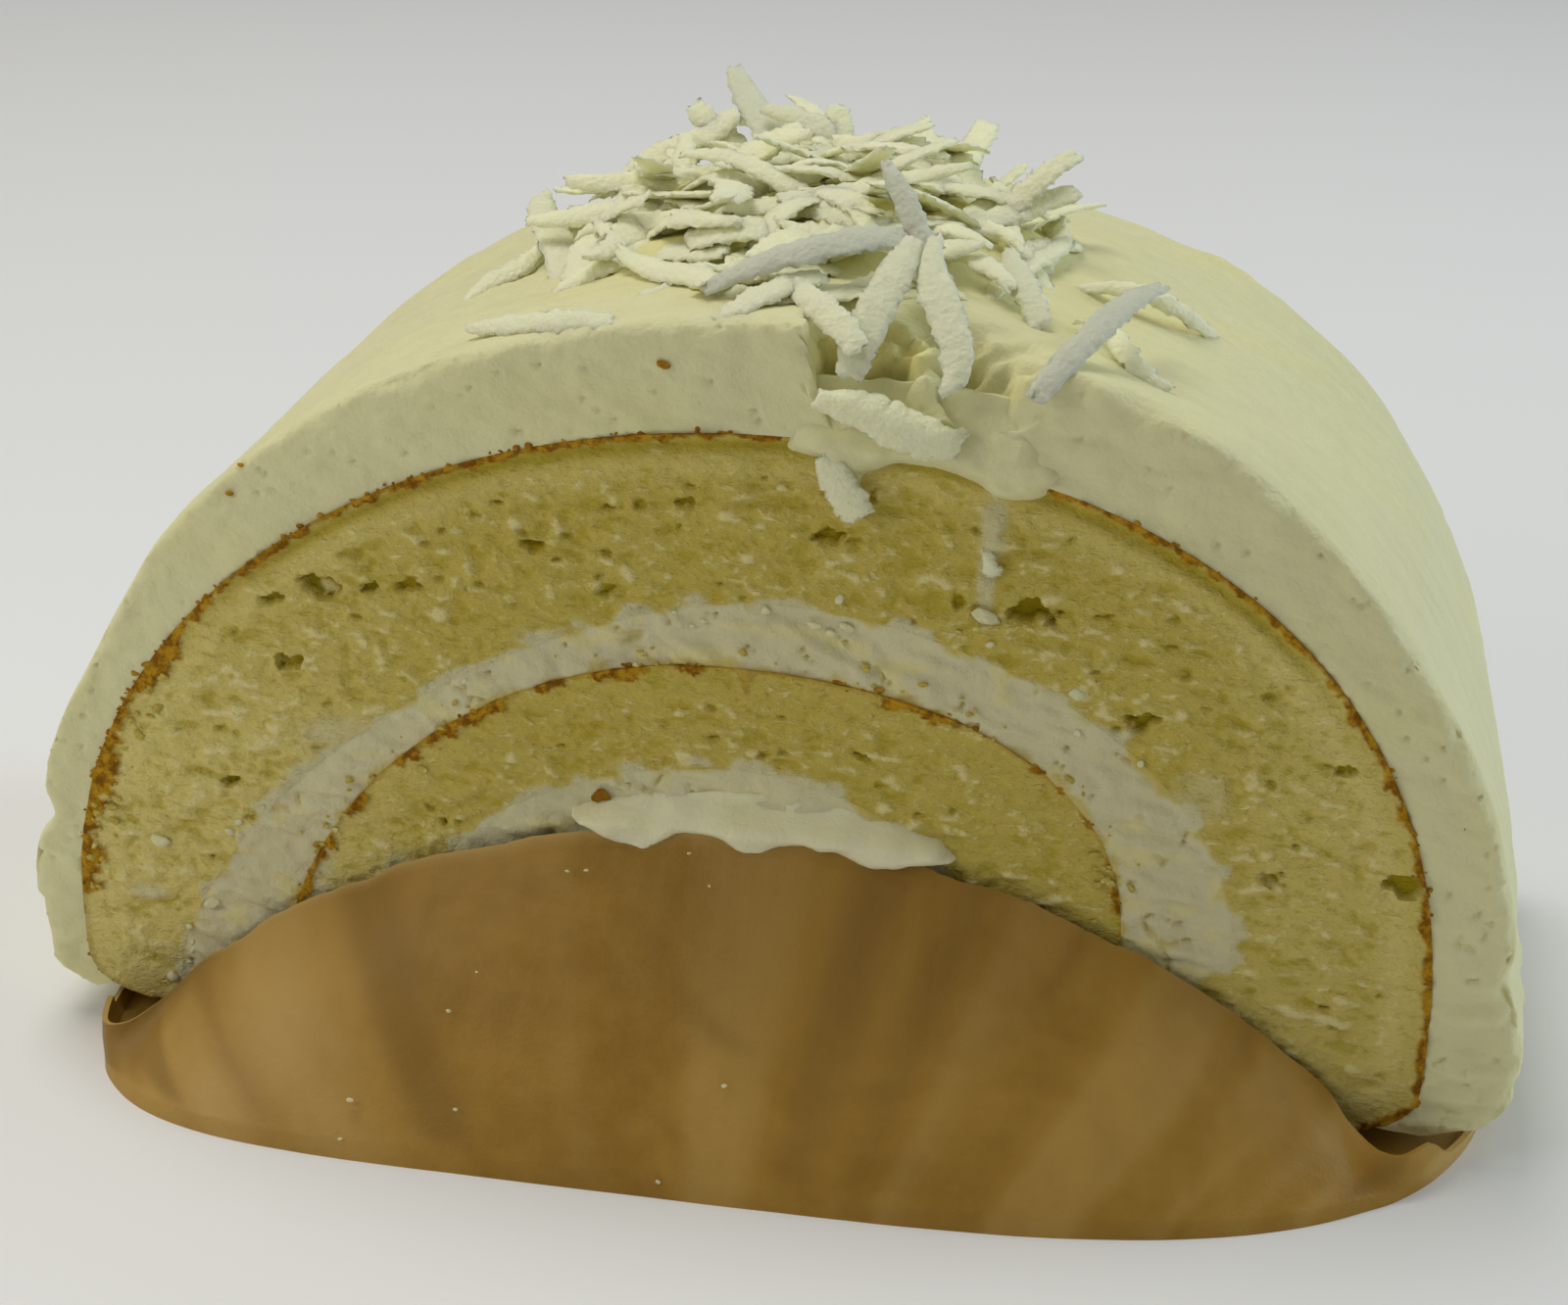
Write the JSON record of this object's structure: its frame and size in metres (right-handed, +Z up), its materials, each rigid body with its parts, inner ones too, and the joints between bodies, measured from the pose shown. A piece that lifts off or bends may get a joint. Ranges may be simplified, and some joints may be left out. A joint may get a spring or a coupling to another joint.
{
  "type": "swiss roll",
  "caption": "Half-round slice of rolled sponge cake with cream inside, a thick whipped cream coat topped with coconut shreds, standing in a folded paper baking case.",
  "frame": {"origin": "middle of the paper case's underside, at the centre of the bounding box in x and y", "axes": "+X across the cut face to the right as the picture shows it, +Y from the pictured cut face into the roll, +Z up"},
  "size_m": [0.0904, 0.0604, 0.0546],
  "materials": {
    "sponge": "open dry crumb",
    "filling_cream": "satin",
    "coat_cream": "satin",
    "coconut": "satin",
    "browned_skin": "matte",
    "baking_paper": "greasy satin"
  },
  "bodies": {
    "root": {"sponge": "sponge", "cream_filling": "filling_cream", "outer_cream": "coat_cream", "paper_case": "baking_paper"}
  },
  "joints": []
}
